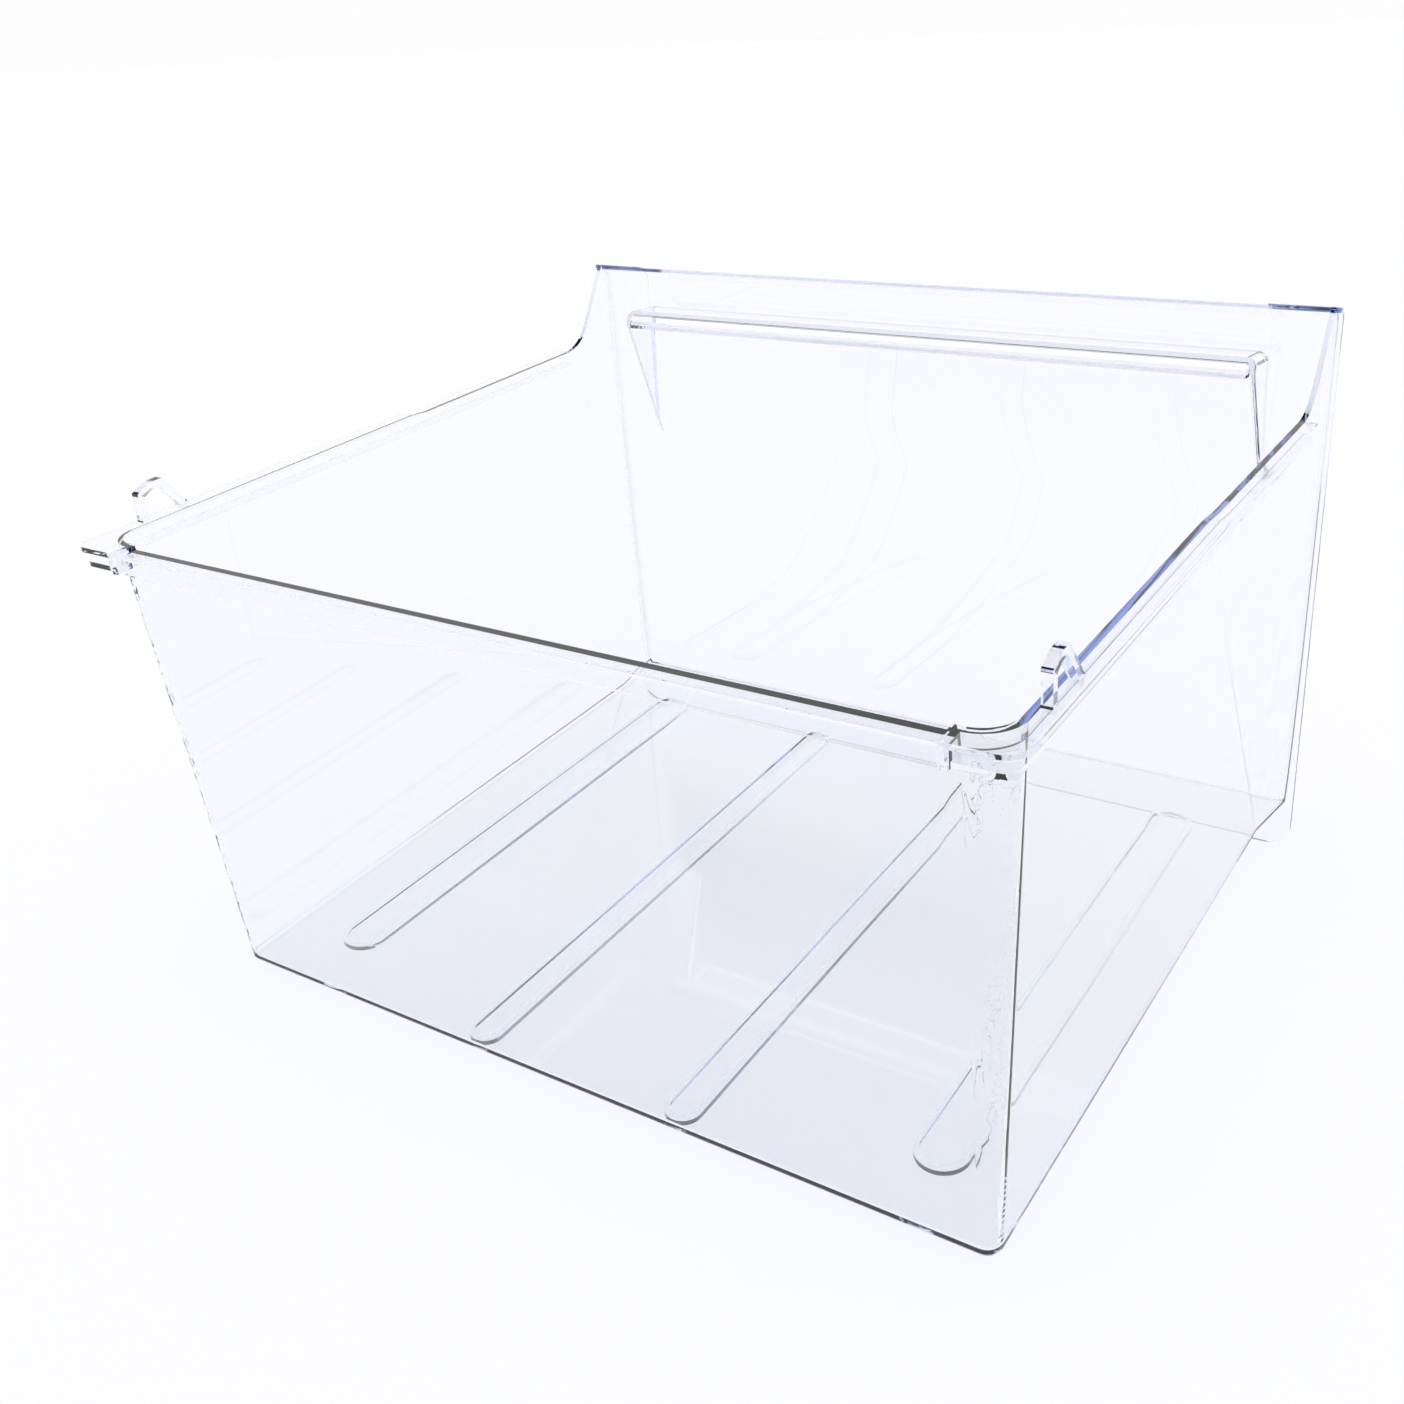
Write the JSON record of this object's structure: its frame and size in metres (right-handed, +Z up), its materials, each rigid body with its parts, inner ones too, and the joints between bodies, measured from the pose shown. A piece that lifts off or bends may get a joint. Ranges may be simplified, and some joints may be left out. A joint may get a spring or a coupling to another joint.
{
  "type": "fridge drawer",
  "caption": "Clear moulded fridge drawer: tapered open tub, tall flat front panel with a finger pocket, side rail channels and stop loops.",
  "frame": {"origin": "middle of the drawer's outer box, on the surface it stands on; the drawer leans back 3.7 degrees because its front panel hangs below its floor", "axes": "+Z up, -Y out of the tall front panel, +X across the width"},
  "size_m": [0.4538, 0.4188, 0.303],
  "materials": {
    "clear_plastic": "clear polystyrene, polished, faint cool tint"
  },
  "bodies": {
    "root": {"drawer": "clear_plastic"}
  },
  "joints": []
}
